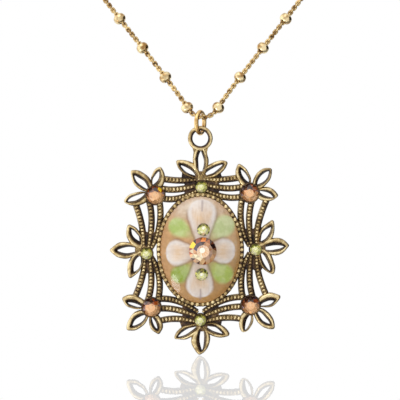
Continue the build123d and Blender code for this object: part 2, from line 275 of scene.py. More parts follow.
# Sections of the cast metal. Each row has a place across the section, a height above the back, and the
# polish there, from 0 for dark patina to 1 for bare metal: where it faces the lower right, with painted
# shade, and where it faces the upper left, with painted light.
LIT_FACING = (-0.86, 0.50)
LIT_RANGE = (-0.55, 0.75)
petal_section = [
    (0.05, 0.00, 0.50, 0.50),
    (0.00, 0.10, 0.00, 0.20),
    (0.00, 0.66, 0.10, 0.66),
    (0.07, 1.12, 0.42, 0.84),
    (0.19, 1.38, 0.74, 0.92),
    (0.34, 1.50, 0.92, 0.94),
    (0.50, 1.42, 0.70, 0.78),
    (0.64, 1.16, 0.12, 0.62),
    (0.80, 0.66, 0.00, 0.34),
    (1.00, 0.26, 0.00, 0.10),
    (1.00, 0.08, 0.00, 0.05),
    (0.93, 0.00, 0.50, 0.50),
]
ribbon_section = [
    (-0.46, 0.00, 0.50, 0.50),
    (-0.50, 0.08, 0.00, 0.10),
    (-0.50, 0.42, 0.00, 0.36),
    (-0.40, 0.80, 0.04, 0.62),
    (-0.31, 0.98, 0.30, 0.74),
    (-0.22, 0.90, 0.40, 0.46),
    (0.22, 0.90, 0.40, 0.46),
    (0.31, 0.98, 0.30, 0.74),
    (0.40, 0.80, 0.04, 0.62),
    (0.50, 0.42, 0.00, 0.36),
    (0.50, 0.08, 0.00, 0.10),
    (0.46, 0.00, 0.50, 0.50),
]
collar_section = [
    (0.00, 0.00, 0.50, 0.50),
    (0.00, 1.55, 0.10, 0.10),
    (0.15, 1.85, 0.40, 0.45),
    (0.60, 1.85, 0.36, 0.50),
    (0.90, 1.60, 0.20, 0.55),
    (1.00, 1.10, 0.03, 0.30),
    (1.00, 0.10, 0.03, 0.10),
    (0.92, 0.00, 0.50, 0.50),
]


# Places

FRONT = Vector((0.0, -1.0, 0.0))
UP = Vector((0.0, 0.0, 1.0))
cabochon_low, cabochon_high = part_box("cabochon")
pendant_x = (cabochon_low.x + cabochon_high.x) / 2
pendant_z = (cabochon_low.z + cabochon_high.z) / 2
plate_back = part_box("pendant_frame")[1].y
ring_low, ring_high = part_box("jump_ring")
ring_centre = (ring_low + ring_high) / 2


def smooth_step(low, high, value):
    """Smooth rise from 0 to 1 between two values."""
    share = min(1.0, max(0.0, (value - low) / (high - low)))
    return share * share * (3 - 2 * share)


def between(first, second, share):
    """Value or vector a share of the way from a first to a second."""
    return first + (second - first) * share


def shade_by_facing(shaded, lit, facing):
    """Polish of a spot between its two values: painted shade where it faces the lower right, painted light
    where it faces the upper left.
    """
    share = smooth_step(*LIT_RANGE, facing.normalized().dot(Vector(LIT_FACING)))
    return between(shaded, lit, share)


def on_pendant(x, z, height):
    """World point of a place on the pendant, whose height is taken forward from the plate's back."""
    return Vector((pendant_x + x * MM, plate_back - height * MM, pendant_z + z * MM))


def raised(outline, height):
    """World points of a flat outline on the pendant, all at a height."""
    return [on_pendant(place.x, place.y, height) for place in outline]


def wander(place):
    """Small flat shift that changes slowly from place to place."""
    shift = space_noise.noise_vector(Vector((place.x, place.y, 0.0)) * 0.55)
    return Vector((shift.x, shift.y)) * PETAL_WANDER * 2


def polar(angle, length):
    """Flat vector of a length at an angle in degrees."""
    turn = math.radians(angle)
    return Vector((math.cos(turn), math.sin(turn))) * length


def left_of(along):
    """Flat vector turned a quarter to the left."""
    return Vector((-along.y, along.x))


def circle(middle, first, second, count):
    """Loop of points round a middle, through the ends of two vectors from it."""
    loop = []
    for step in range(count):
        turn = 2 * math.pi * step / count
        loop.append(middle + first * math.cos(turn) + second * math.sin(turn))
    return loop


def ellipse(half_width, half_height, count, middle=(0.0, 0.0)):
    """Flat loop of points round an ellipse."""
    loop = []
    for step in range(count):
        turn = 2 * math.pi * step / count
        spoke = Vector((half_width * math.cos(turn), half_height * math.sin(turn)))
        loop.append(Vector(middle) + spoke)
    return loop


def collar_oval(out, count):
    """Flat oval that lies outward of the collar's inner edge."""
    inner = Vector((CABOCHON_WIDTH / 2 + COLLAR_GAP, CABOCHON_HEIGHT / 2 + COLLAR_GAP))
    return ellipse(inner.x + out, inner.y + out, count)


def corner_place(name):
    """Centre of a corner stone."""
    share_x, share_z = corners[name]
    return Vector((share_x * CORNER_X, share_z * CORNER_Z))


def side_place(name):
    """Centre of a side stone."""
    return Vector((sides[name].x * SIDE_X, sides[name].z * SIDE_Z))


def hub_place(name):
    """Point where the petals of a side meet."""
    return side_place(name) + Vector((sides[name].hub_x, sides[name].hub_z)) * PETAL_LENGTH


def run_lengths(points):
    """Distances of points from the first, along the line that joins them."""
    runs = [0.0]
    for before, after in zip(points, points[1:]):
        runs.append(runs[-1] + (after - before).length)
    return runs


class Route:
    """Line of points that gives the place and direction at a distance from its start."""

    def __init__(self, line):
        self.line = line
        self.runs = run_lengths(line)
        self.length = self.runs[-1]
        self.spot = 0

    def at(self, distance):
        """Place and direction along the line."""
        spot = self.spot if self.runs[self.spot] <= distance else 0
        while spot < len(self.line) - 2 and self.runs[spot + 1] < distance:
            spot += 1
        self.spot = spot
        share = (distance - self.runs[spot]) / (self.runs[spot + 1] - self.runs[spot])
        along = (self.line[spot + 1] - self.line[spot]).normalized()
        return self.line[spot].lerp(self.line[spot + 1], share), along


def smooth_line(points, step):
    """Evenly spaced flat points and directions along a cubic curve through four points."""
    times = run_lengths(points)

    def at(time):
        total = Vector((0.0, 0.0))
        for index, point in enumerate(points):
            weight = 1.0
            for other, moment in enumerate(times):
                if other != index:
                    weight *= (time - moment) / (times[index] - moment)
            total += point * weight
        return total

    fine = Route([at(times[-1] * index / CURVE_SAMPLES) for index in range(CURVE_SAMPLES + 1)])
    count = max(2, round(fine.length / step))
    return [fine.at(fine.length * index / count) for index in range(count + 1)]


# Meshes

# Seeds of everything that varies, so that each run gives the same result
back_dice = random.Random(11)
grain_dice = random.Random(7)
space_noise.seed_set(5)


class Shells:
    """Closed shells gathered for one piece, with the polish and painted shade of each point."""

    def __init__(self):
        self.points = []
        self.polish_and_shade = []
        self.faces = []

    def loft(self, loops, polish_and_shade=None, closed=False):
        """Joins loops of as many points each, and closes the ends or joins the last to the first."""
        first = len(self.points)
        count = len(loops[0])
        for loop, value in zip(loops, polish_and_shade or [1.0] * len(loops)):
            self.points.extend(loop)
            self.polish_and_shade.extend(value if isinstance(value, list) else [value] * count)
        spans = len(loops) if closed else len(loops) - 1
        for row in range(spans):
            low = first + row * count
            high = first + (row + 1) % len(loops) * count
            for step in range(count):
                after = (step + 1) % count
                self.faces.append((low + step, low + after, high + after, high + step))
        if not closed:
            last = first + (len(loops) - 1) * count
            self.faces.append(tuple(reversed(range(first, first + count))))
            self.faces.append(tuple(range(last, last + count)))


def finish_mesh(name, points, faces, sharp_angle):
    """Mesh with its faces turned outward, smooth but for its sharp edges, or flat at an angle of 0."""
    mesh = bpy.data.meshes.new(name)
    mesh.from_pydata(points, [], faces)
    shape = bmesh.new()
    shape.from_mesh(mesh)
    bmesh.ops.recalc_face_normals(shape, faces=shape.faces)
    shape.to_mesh(mesh)
    shape.free()
    mesh.polygons.foreach_set("use_smooth", [sharp_angle > 0] * len(mesh.polygons))
    if sharp_angle > 0:
        mesh.set_sharp_from_angle(angle=math.radians(sharp_angle))
    return mesh


def add_piece(mesh, material, body, node):
    """Object of a mesh that rides on a body and stands for a node."""
    piece = bpy.data.objects.new(mesh.name, mesh)
    bpy.context.scene.collection.objects.link(piece)
    mesh.materials.append(material)
    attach(piece, body)
    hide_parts(node)


def add_shells(name, shells, material, body, node, sharp_angle=50):
    """Piece made of gathered shells, with its polish and painted shade as an attribute."""
    mesh = finish_mesh(name, shells.points, shells.faces, sharp_angle)
    mesh.attributes.new("polish_and_shade", "FLOAT", "POINT").data.foreach_set("value", shells.polish_and_shade)
    add_piece(mesh, material, body, node)


def rounded_lens(middle, along, length, width, rounding, per_side=12, per_tip=6):
    """Flat loop of points round a lens with rounded tips, the outline of a petal."""
    long = length - 2 * rounding
    wide = width - 2 * rounding
    radius = (long ** 2 + wide ** 2) / (4 * wide)
    reach = math.asin(min(1.0, long / 2 / radius))
    across = left_of(along)
    loop = []
    for side in (1, -1):
        for step in range(per_side + 1):
            turn = side * reach * (1 - 2 * step / per_side)
            out = along * math.sin(turn) + across * (side * math.cos(turn))
            core = along * (radius * math.sin(turn))
            core += across * (side * (radius * math.cos(turn) - radius + wide / 2))
            loop.append(middle + core + out * rounding)
        fan = math.pi / 2 - reach
        for step in range(1, per_tip):
            turn = fan - 2 * fan * step / per_tip
            out = along * (-side * math.cos(turn)) + across * (side * math.sin(turn))
            loop.append(middle - along * (side * long / 2) + out * rounding)
    return loop


def back_level():
    """Height of a shell's flat back, a little different each time, so that no two share a plane."""
    return back_dice.uniform(0.005, BACK_UNEVEN)


def add_petal(shells, hub, petal, inset):
    """Petal: a rim of cast metal round a hole, whose base starts at an inset from the petals' hub."""
    along = polar(petal.angle, 1.0)
    base = hub + along * inset
    tip = hub + along * petal.length
    hole_start = hub + along * petal.start
    hole_end = hub + along * (petal.length - petal.end)
    back = back_level()
    loops = []
    polish_and_shade = []
    for share, height, shaded, lit in petal_section:
        middle = between((base + tip) / 2, (hole_start + hole_end) / 2, share)
        middle += left_of(along) * (petal.lean * share)
        long = between((tip - base).length, (hole_end - hole_start).length, share)
        wide = between(petal.width + PETAL_SWELL, petal.hole, share)
        way = polar(petal.angle + petal.turn * share, 1.0)
        loop = rounded_lens(middle, way, long, wide, between(petal.tip, HOLE_TIP, share))
        loop = [place + wander(place) for place in loop]
        loops.append(raised(loop, max(height, back)))
        inward = -1 if share < PETAL_CREST else 1
        steps = [loop[(index + 1) % len(loop)] - loop[index - 1] for index in range(len(loop))]
        # Painted shade on flanks that face the lower right, painted light on those that face the upper
        # left
        polish_and_shade.append([shade_by_facing(shaded, lit, left_of(step) * inward) for step in steps])
    shells.loft(loops, polish_and_shade, closed=True)


def in_hole(place, hub, petal):
    """Whether a place lies in or close beside the hole of a petal."""
    along = polar(petal.angle, 1.0)
    way = polar(petal.angle + petal.turn, 1.0)
    middle = hub + along * (petal.start + petal.length - petal.end) / 2 + left_of(along) * petal.lean
    offset = place - middle
    share = offset.dot(way) / ((petal.length - petal.end - petal.start) / 2)
    across = abs(offset.dot(left_of(way)))
    return abs(share) < 1 and across < petal.hole / 2 * (1 - share ** 2) + HOLE_CLEAR


def trimmed(line, corner):
    """Stretch of a strand's line that ends before the hole of a corner's petal."""
    for index, (place, along) in enumerate(line):
        if any(in_hole(place, corner_place(corner), petal) for petal in corner_petals[corner]):
            return line[:index]
    return line


def add_ribbon(shells, line):
    """Band of cast metal along a flat line, which widens as far as its web reaches."""
    back = back_level()
    loops = []
    polish_and_shade = []
    for index, (place, along) in enumerate(line):
        grown = smooth_step(0.0, WEB_REACH, index / len(line))
        across = left_of(along)
        width = between(RIBBON_NARROW, RIBBON_WIDE, grown)
        loop = []
        values = []
        for share, height, shaded, lit in ribbon_section:
            spot = place + across * width * share
            loop.append(on_pendant(spot.x, spot.y, max(height, back)))
            # Painted shade on the flank that faces the lower right, painted light on the one that faces
            # the upper left
            values.append(shade_by_facing(shaded, lit, across * share))
        loops.append(loop)
        polish_and_shade.append(values)
    shells.loft(loops, polish_and_shade)


def add_grain(shells, place, along, width, length, level, sides_round=12, rings=5):
    """Rounded grain of metal, bright on top and dark where it meets the cast plate, each a bit uneven."""
    width *= grain_dice.uniform(0.88, 1.06)
    length *= grain_dice.uniform(0.88, 1.04)
    shine = grain_dice.uniform(0.72, 1.0)
    loops = []
    polish_and_shade = []
    for ring in range(rings + 1):
        turn = math.radians(between(*GRAIN_ARC, ring / rings))
        reach = math.cos(turn) / 2
        outline = circle(place, left_of(along) * (width * reach), along * (length * reach), sides_round)
        loops.append(raised(outline, level + width * GRAIN_ROUND * math.sin(turn)))
        polish_and_shade.append(min(1.0, 0.24 + 0.95 * ring / rings) * shine)
    shells.loft(loops, polish_and_shade)


def add_strand(shells, points, corner):
    """Cast band and its row of grains, which end before the holes of a corner's petals."""
    add_ribbon(shells, trimmed(smooth_line(points, RIBBON_STEP), corner))
    row = trimmed(smooth_line(points, GRAIN_PITCH), corner)[:-1]
    for index, (place, along) in enumerate(row):
        grown = smooth_step(0.0, GRAIN_GROWTH, index / len(row))
        width = between(GRAIN_SMALL, GRAIN_LARGE, grown)
        lit_side = left_of(along)
        if lit_side.dot(Vector(LIT_FACING)) < 0:
            lit_side = -lit_side
        place = place + lit_side * GRAIN_LEAN * grown
        add_grain(shells, place, along, width, min(width, GRAIN_PITCH * GRAIN_FILL), GRAIN_LEVEL)


def add_plate(shells, outline, height, shine):
    """Flat plate of a polygon's outline, from the back up to about a height."""
    back = back_level()
    shells.loft([raised(outline, back), raised(outline, height + back)], [BACK_POLISH, shine])


def add_webs(shells, hub, lines, flank, facing):
    """Thin webs between three strands, and between the outer one and a petal, clear of its hole."""
    reach = (WEB_REACH - stations[1]) / (stations[2] - stations[1])
    ends = {strand: line[1].lerp(line[2], reach) for strand, line in lines.items()}
    for upper, lower in (("outer", "middle"), ("middle", "inner")):
        notch = (ends[upper] + ends[lower]) / 2 + (lines[upper][1] - ends[upper]) * WEB_NOTCH
        outline = [*lines[upper][:2], ends[upper], notch, ends[lower], lines[lower][1], lines[lower][0]]
        add_plate(shells, outline, WEB_HEIGHT, WEB_POLISH)
    turning = math.copysign(1.0, (flank.angle - facing + 180) % 360 - 180)
    clear = flank.hole / 2 + max(0.0, flank.lean * turning) + WING_CLEAR
    turn = math.degrees(math.asin(clear / (flank.length / 2))) * turning
    wing = hub + polar(flank.angle + turn, flank.length * WING_REACH)
    add_plate(shells, [hub, *lines["outer"][:2], ends["outer"], wing], WEB_HEIGHT, WEB_POLISH)


def add_seat(shells, place, diameter, wall, bezel):
    """Round setting of a stone, whose bezel leans in over the stone's edge at a height."""
    inner = diameter / 2 + SEAT_GAP
    outer = inner + wall
    back = back_level()
    # Each row has a radius, a height and the polish there
    rows = [
        (0.01, back, BACK_POLISH),
        (outer - 0.06, back, BACK_POLISH),
        (outer, 0.08, 0.05),
        (outer, bezel - 0.45, 0.10),
        (outer - wall * 0.34, bezel - 0.12, 0.22),
        (outer - wall * 0.68, bezel, 0.38),
        (inner - 0.02, bezel - 0.04, 0.30),
        (inner - 0.02, SEAT_LEVEL - SEAT_GAP, 0.0),
        (0.01, SEAT_LEVEL - SEAT_GAP, 0.0),
    ]
    loops = [raised(ellipse(radius, radius, 32, place), height) for radius, height, shine in rows]
    shells.loft(loops, [shine for radius, height, shine in rows])


def ring_loops(centre, facing, diameter, wire, around, sides_round, start=0.0, sweep=360.0):
    """Loops of a round wire bent into a ring, from start through sweep degrees."""
    turned = facing.normalized().to_track_quat("Z", "Y").to_matrix()
    up = turned @ UP * (wire / 2 * MM)
    loops = []
    for step in range(around if sweep >= 360.0 else around + 1):
        turn = math.radians(start + sweep * step / around)
        out = turned @ Vector((math.cos(turn), math.sin(turn), 0.0))
        middle = centre + out * ((diameter - wire) / 2 * MM)
        loops.append(circle(middle, out * (wire / 2 * MM), up, sides_round))
    return loops


def link_loops(centre, along, across, length, width, wire, around=14, sides_round=6):
    """Loops of an oval wire link in the plane of along and across."""
    normal = along.cross(across).normalized() * (wire / 2 * MM)
    loops = []
    for step in range(around):
        turn = 2 * math.pi * (step + 0.5) / around
        out = along * math.cos(turn) + across * math.sin(turn)
        middle = centre + along * math.copysign((length - width) / 2 * MM, math.cos(turn))
        middle += out * ((width - wire) / 2 * MM)
        loops.append(circle(middle, out * (wire / 2 * MM), normal, sides_round))
    return loops


# Materials


def linear(red, green, blue):
    """Colour for a shader from the values of a screen colour, 0 to 255."""
    values = []
    for value in (red, green, blue):
        share = value / 255
        values.append(share / 12.92 if share <= 0.04045 else ((share + 0.055) / 1.055) ** 2.4)
    return values


def blended(first, second, share):
    """Colour between two."""
    return [between(a, b, share) for a, b in zip(first, second)]


class Surface:
    """Material with a principled shader, and short calls for the nodes that feed it."""

    def __init__(self, name):
        self.material = bpy.data.materials.new(name)
        self.material.use_nodes = True
        self.nodes = self.material.node_tree.nodes
        self.links = self.material.node_tree.links
        self.shader = self.nodes["Principled BSDF"]

    def feed(self, node, inputs):
        """Sets a node's inputs by name to numbers or colours, or links other nodes' outputs to them."""
        for name, value in inputs.items():
            if isinstance(value, bpy.types.NodeSocket):
                self.links.new(value, node.inputs[name])
            else:
                node.inputs[name].default_value = value

    def attribute(self, name, output="Color"):
        """Value that is stored with the mesh."""
        node = self.nodes.new("ShaderNodeAttribute")
        node.attribute_name = name
        return node.outputs[output]

    def noise(self, scale, detail=3.0, roughness=0.55):
        """Noise texture in the object's own coordinates."""
        place = self.nodes.new("ShaderNodeTexCoord").outputs["Object"]
        node = self.nodes.new("ShaderNodeTexNoise")
        self.feed(node, {"Vector": place, "Scale": scale, "Detail": detail, "Roughness": roughness})
        return node.outputs["Fac"]

    def math(self, operation, *values, clamp=False):
        """Math node on outputs of other nodes or on numbers."""
        node = self.nodes.new("ShaderNodeMath")
        node.operation = operation
        node.use_clamp = clamp
        self.feed(node, dict(enumerate(values)))
        return node.outputs["Value"]

    def ramp(self, factor, stops):
        """Colour ramp on a factor, from rows of position and colour."""
        node = self.nodes.new("ShaderNodeValToRGB")
        elements = node.color_ramp.elements
        while len(elements) < len(stops):
            elements.new(0.5)
        for element, (position, colour) in zip(elements, stops):
            element.position = position
            element.color = (*colour, 1.0)
        self.feed(node, {"Fac": factor})
        return node.outputs["Color"]

    def bump(self, height, distance, strength):
        """Bump on the shader's normal."""
        node = self.nodes.new("ShaderNodeBump")
        self.feed(node, {"Height": height, "Distance": distance, "Strength": strength})
        self.feed(self.shader, {"Normal": node.outputs["Normal"]})

    def mix(self, factor, first, second):
        """Mix of two shaders as the whole surface."""
        node = self.nodes.new("ShaderNodeMixShader")
        self.feed(node, {0: factor, 1: first, 2: second})
        self.feed(self.nodes["Material Output"], {"Surface": node.outputs["Shader"]})


def antique_brass():
    """Cast brass whose recesses hold a dark patina and whose crests are rubbed bare, with painted shade
    and light by the way its flanks face.
    """
    surface = Surface("antique_brass")
    wear = surface.math("SUBTRACT", surface.noise(1100.0, 5.0, 0.75), 0.5)
    wear = surface.math("MULTIPLY", wear, 1.35)
    patches = surface.math("SUBTRACT", surface.noise(420.0, 3.0, 0.6), 0.52)
    patches = surface.math("MULTIPLY", patches, 1.3)
    wear = surface.math("ADD", wear, patches)
    level = surface.math("ADD", surface.attribute("polish_and_shade", "Fac"), wear, clamp=True)
    colour = surface.ramp(level, [
        (0.00, linear(34, 23, 20)),
        (0.28, linear(92, 68, 52)),
        (0.60, linear(156, 132, 86)),
        (0.82, linear(196, 172, 124)),
        (1.00, linear(232, 212, 164)),
    ])
    surface.feed(surface.shader, {
        "Base Color": colour,
        "Metallic": surface.math("MULTIPLY_ADD", level, 0.5, 0.5, clamp=True),
        "Roughness": surface.math("MULTIPLY_ADD", level, -0.25, 0.52),
    })
    surface.bump(surface.noise(2600.0, 3.0, 0.6), 0.00004, 0.6)
    return surface.material


def gold(name, base, shade):
    """Bright gold plating with random patches of a darker tone, which are painted shade and dark
    reflections, and fine polishing marks.
    """
    surface = Surface(name)
    surface.feed(surface.shader, {
        "Base Color": surface.ramp(surface.noise(700.0, 2.0), [(0.35, shade), (0.6, base)]),
        "Metallic": 1.0,
        "Roughness": surface.math("MULTIPLY_ADD", surface.noise(1800.0), 0.16, 0.10),
    })
    surface.bump(surface.noise(3500.0, 2.0), 0.00001, 0.5)
    return surface.material


def painted_glass():
    """Cabochon: painted colours under a clear glossy layer."""
    surface = Surface("painted_cabochon")
    mottle = surface.ramp(surface.noise(1300.0, 5.0, 0.65), [
        (0.30, (0.93, 0.92, 0.91)),
        (0.70, (1.04, 1.04, 1.04)),
    ])
    product = surface.nodes.new("ShaderNodeMix")
    product.data_type = "RGBA"
    product.blend_type = "MULTIPLY"
    surface.feed(product, {"Factor": 1.0, 6: surface.attribute("paint"), 7: mottle})
    surface.feed(surface.shader, {
        "Base Color": product.outputs[2],
        "Roughness": 0.5,
        "Specular IOR Level": 0.0,
        "Coat Weight": 1.0,
        "Coat Roughness": 0.05,
    })
    return surface.material


def crystal(name):
    """Foiled cut stone, whose facets each carry a painted reflection of the room as their colour."""
    surface = Surface(name)
    surface.feed(surface.shader, {
        "Base Color": surface.attribute("facet"),
        "Roughness": 0.12,
        "Metallic": 0.25,
        "Coat Weight": 1.0,
        "Coat Roughness": 0.02,
    })
    return surface.material


def floor_sheet():
    """Clear polished sheet over the pale studio, which mirrors a little of what stands over it."""
    surface = Surface("floor_sheet")
    clear = surface.nodes.new("ShaderNodeBsdfTransparent")
    mirror = surface.nodes.new("ShaderNodeBsdfGlossy")
    surface.feed(mirror, {"Roughness": 0.0, "Color": (1.0, 1.0, 1.0, 1.0)})
    surface.mix(FLOOR_MIRROR, clear.outputs["BSDF"], mirror.outputs["BSDF"])
    surface.nodes.remove(surface.shader)
    return surface.material


def shade_cloth():
    """Matt dark cloth, which a perfect mirror such as the floor looks through."""
    surface = Surface("shade_cloth")
    clear = surface.nodes.new("ShaderNodeBsdfTransparent")
    path = surface.nodes.new("ShaderNodeLightPath")
    surface.feed(surface.shader, {
        "Base Color": (SHADE_GREY, SHADE_GREY, SHADE_GREY, 1.0),
        "Roughness": 1.0,
        "Specular IOR Level": 0.0,
    })
    surface.mix(path.outputs["Is Singular Ray"], surface.shader.outputs["BSDF"], clear.outputs["BSDF"])
    return surface.material


# Each gold's second colour is the painted shade and dark reflection of its darker patches
chain_gold = gold("gold_chain", linear(226, 199, 145), linear(138, 104, 60))
bead_gold = gold("gold_beads", linear(238, 218, 172), linear(160, 122, 72))
clasp_gold = gold("gold_clasp", linear(230, 198, 140), linear(204, 166, 108))
ring_gold = gold("gold_ring", linear(234, 202, 142), linear(188, 144, 84))
amber = crystal("amber_crystal")
topaz = crystal("topaz_crystal")
green = crystal("green_crystal")


# Camera, floor and light

scene = bpy.context.scene
lift = math.radians(CAMERA_ELEVATION)
camera_data = bpy.data.cameras.new("camera")
camera_data.sensor_width = SENSOR_WIDTH
camera_data.lens = SENSOR_WIDTH * CAMERA_DISTANCE / VIEW_WIDTH
camera_data.clip_start = 0.05
camera_data.clip_end = 20.0
camera = bpy.data.objects.new("camera", camera_data)
scene.collection.objects.link(camera)
camera_back = Vector((0.0, -math.cos(lift), math.sin(lift)))
camera.location = Vector(VIEW_TARGET) * MM + camera_back * CAMERA_DISTANCE * MM
camera.rotation_euler = (-camera_back).to_track_quat("-Z", "Y").to_euler()
scene.camera = camera
scene.view_settings.view_transform = "Standard"


def add_panel(name, half_width, half_height, level, material):
    """Flat panel of the studio, which isn't part of the necklace."""
    mesh = bpy.data.meshes.new(name)
    ends = [(-1, -1), (1, -1), (1, 1), (-1, 1)]
    mesh.from_pydata([(x * half_width, y * half_height, level) for x, y in ends], [], [(0, 1, 2, 3)])
    mesh.materials.append(material)
    panel = bpy.data.objects.new(name, mesh)
    scene.collection.objects.link(panel)
    return panel


# Floor, close under the lowest petal
FLOOR_GAP = 0.12
FLOOR_HALF = 4.0         # metres
FLOOR_MIRROR = 0.33
lowest = side_petals["bottom"][1]
lowest_tip = hub_place("bottom") + polar(lowest.angle, lowest.length)
floor_level = on_pendant(0.0, lowest_tip.y - FLOOR_GAP, 0.0).z
add_panel("floor", FLOOR_HALF, FLOOR_HALF, floor_level, floor_sheet())

# Soft light all round: the direction of each panel, the angles of its core and its edge, and
# its brightness
light_panels = [
    ("left_panel", (-0.97, 0.10, 0.22), 22.0, 46.0, 1.5),
    ("top_panel", (-0.25, -0.40, 0.88), 14.0, 34.0, 2.0),
]
world = bpy.data.worlds.new("studio")
scene.world = world
world.use_nodes = True
world_nodes = world.node_tree.nodes
world_links = world.node_tree.links
background = world_nodes["Background"]
background.inputs["Color"].default_value = (1.0, 1.0, 1.0, 1.0)
direction = world_nodes.new("ShaderNodeTexCoord").outputs["Generated"]
brightness = None
for name, facing, core, edge, level in light_panels:
    dot = world_nodes.new("ShaderNodeVectorMath")
    dot.operation = "DOT_PRODUCT"
    dot.label = name
    world_links.new(direction, dot.inputs[0])
    dot.inputs[1].default_value = Vector(facing).normalized()
    near = world_nodes.new("ShaderNodeMapRange")
    near.interpolation_type = "SMOOTHSTEP"
    near.inputs["From Min"].default_value = math.cos(math.radians(edge))
    near.inputs["From Max"].default_value = math.cos(math.radians(core))
    world_links.new(dot.outputs["Value"], near.inputs["Value"])
    field = world_nodes.new("ShaderNodeMix")
    field.inputs["A"].default_value = 1.0
    field.inputs["B"].default_value = level
    if brightness:
        world_links.new(brightness, field.inputs["A"])
    world_links.new(near.outputs["Result"], field.inputs["Factor"])
    brightness = field.outputs["Result"]
world_links.new(brightness, background.inputs["Strength"])

# Two grey shades beside the part that the camera doesn't see, so that the metal's right and lower
# flanks stay dark: each has its place from the cabochon's centre, its half sizes and its facing, in metres
SHADE_GREY = 0.02
shades = [
    ("right_shade", (0.26, 0.13, -0.04), (0.23, 0.26), (-1.0, 0.0, 0.0)),
    ("low_shade", (0.06, -0.01, -0.24), (0.15, 0.17), (-0.2, 0.0, 1.0)),
]
cloth = shade_cloth()
for name, place, (half_width, half_height), facing in shades:
    shade = add_panel(name, half_width, half_height, 0.0, cloth)
    shade.location = on_pendant(0.0, 0.0, 0.0) + Vector(place)
    shade.rotation_euler = Vector(facing).to_track_quat("Z", "Y").to_euler()
    shade.visible_camera = False

# Small softbox low on the left, in metres and watts, whose highlight lies on the lower left of the
# cabochon
LOW_LIGHT_GOAL = (-5.6, -7.85, 4.0)
LOW_LIGHT_DIRECTION = (-0.677, -0.468, -0.569)
LOW_LIGHT_DISTANCE = 0.6
LOW_LIGHT_WIDTH = 0.16
LOW_LIGHT_LENGTH = 0.208
LOW_LIGHT_POWER = 0.6
light_data = bpy.data.lights.new("low_softbox", "AREA")
light_data.shape = "ELLIPSE"
light_data.size = LOW_LIGHT_WIDTH
light_data.size_y = LOW_LIGHT_LENGTH
light_data.energy = LOW_LIGHT_POWER
light = bpy.data.objects.new("low_softbox", light_data)
light_goal = on_pendant(*LOW_LIGHT_GOAL)
light.location = light_goal + Vector(LOW_LIGHT_DIRECTION).normalized() * LOW_LIGHT_DISTANCE
light.rotation_euler = (light_goal - light.location).to_track_quat("-Z", "Y").to_euler()
light.visible_camera = False
scene.collection.objects.link(light)


# Chain


def chain_line():
    """Points, in metres, read from the smooth route of the chain."""
    right = [Vector(point) for point in CHAIN_ROUTE]
    left = [Vector((-point.x, point.y, point.z)) for point in reversed(right)]
    route = [point * MM for point in left + right]
    data = bpy.data.curves.new("chain_route", "CURVE")
    data.dimensions = "3D"
    data.resolution_u = 64
    spline = data.splines.new("NURBS")
    spline.points.add(len(route) - 1)
    for control, point in zip(spline.points, route):
        control.co = (*point, 1.0)
    spline.order_u = 3
    spline.use_endpoint_u = True
    curve = bpy.data.objects.new("chain_route", data)
    scene.collection.objects.link(curve)
    mesh = bpy.data.meshes.new_from_object(curve)
    line = [vertex.co.copy() for vertex in mesh.vertices]
    bpy.data.objects.remove(curve)
    bpy.data.curves.remove(data)
    bpy.data.meshes.remove(mesh)
    return line


def across_chain(along):
    """Direction across the chain, level with its front, or with the floor where it runs to the back."""
    return along.cross(FRONT if abs(along.y) < 0.9 else UP).normalized()


route = Route(chain_line())
links = Shells()
link_span = route.length - 2 * FIRST_LINK * MM
link_count = round(link_span / (LINK_PITCH * MM))
for index in range(link_count + 1):
    place, along = route.at(FIRST_LINK * MM + link_span * index / link_count)
    turn = math.radians(LINK_TURN + 90.0 * (index % 2))
    across = Matrix.Rotation(turn, 3, along) @ across_chain(along)
    loops = link_loops(place, along, across, LINK_PITCH + 2 * LINK_WIRE, LINK_WIDTH, LINK_WIRE)
    links.loft(loops, closed=True)
for side in (1, -1):
    place = Vector((side * END_LINK_X, CHAIN_ROUTE[-1][1], 0.0)) * MM
    along = Vector((1.0, 0.0, 0.0))
    across = Vector(END_LINK_ACROSS)
    loops = link_loops(place, along, across, END_LINK_LENGTH, END_LINK_WIDTH, END_LINK_WIRE, 24, 10)
    links.loft(loops, closed=True)
add_shells("chain_links", links, chain_gold, "neck_chain", "chain", sharp_angle=80)

# Beads: rounded rondelles, whose outline runs from end to end and back through the bore
bead_rows = []
for step in range(9):
    turn = math.radians(BEAD_ARC * (step / 4 - 1))
    shift = BEAD_LENGTH / 2 * math.sin(turn) / math.sin(math.radians(BEAD_ARC))
    bead_rows.append((shift, BEAD_DIAMETER / 2 * math.cos(turn) ** BEAD_FLATNESS))
for end in (1, -1):
    bead_rows.append((end * (BEAD_LENGTH / 2 - BEAD_DIMPLE), BEAD_BORE / 2))
beads = Shells()
bead_count = int(route.length / 2 / (BEAD_PITCH * MM))
for index in range(-bead_count, bead_count):
    place, along = route.at(route.length / 2 + (index + 0.5) * BEAD_PITCH * MM)
    out = across_chain(along) * MM
    up = along.cross(out)
    loops = [circle(place + along * shift * MM, out * reach, up * reach, 24) for shift, reach in bead_rows]
    beads.loft(loops, closed=True)
add_shells("rondelle_beads", beads, bead_gold, "neck_chain", "chain_beads")

# Jump ring: round wire, cut at the back where its ends meet
ring = Shells()
ring_facing = Matrix.Rotation(math.radians(RING_TURN), 3, "Z") @ FRONT
start = RING_CUT / 2 + RING_CUT_ANGLE
sweep = 360.0 - RING_CUT
ring.loft(ring_loops(ring_centre, ring_facing, RING_DIAMETER, RING_WIRE, 72, 20, start, sweep))
add_shells("wire_ring", ring, ring_gold, "ring", "jump_ring")

# Clasp keeps its own shape
for material_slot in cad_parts["clasp"].material_slots:
    material_slot.material = clasp_gold


# Pendant frame

cast = Shells()
for name, rows in side_petals.items():
    for index, petal in enumerate(rows):
        add_petal(cast, hub_place(name), petal, SIDE_PETAL_INSET * index)
for name, rows in corner_petals.items():
    for petal in rows:
        add_petal(cast, corner_place(name), petal, CORNER_PETAL_INSET)

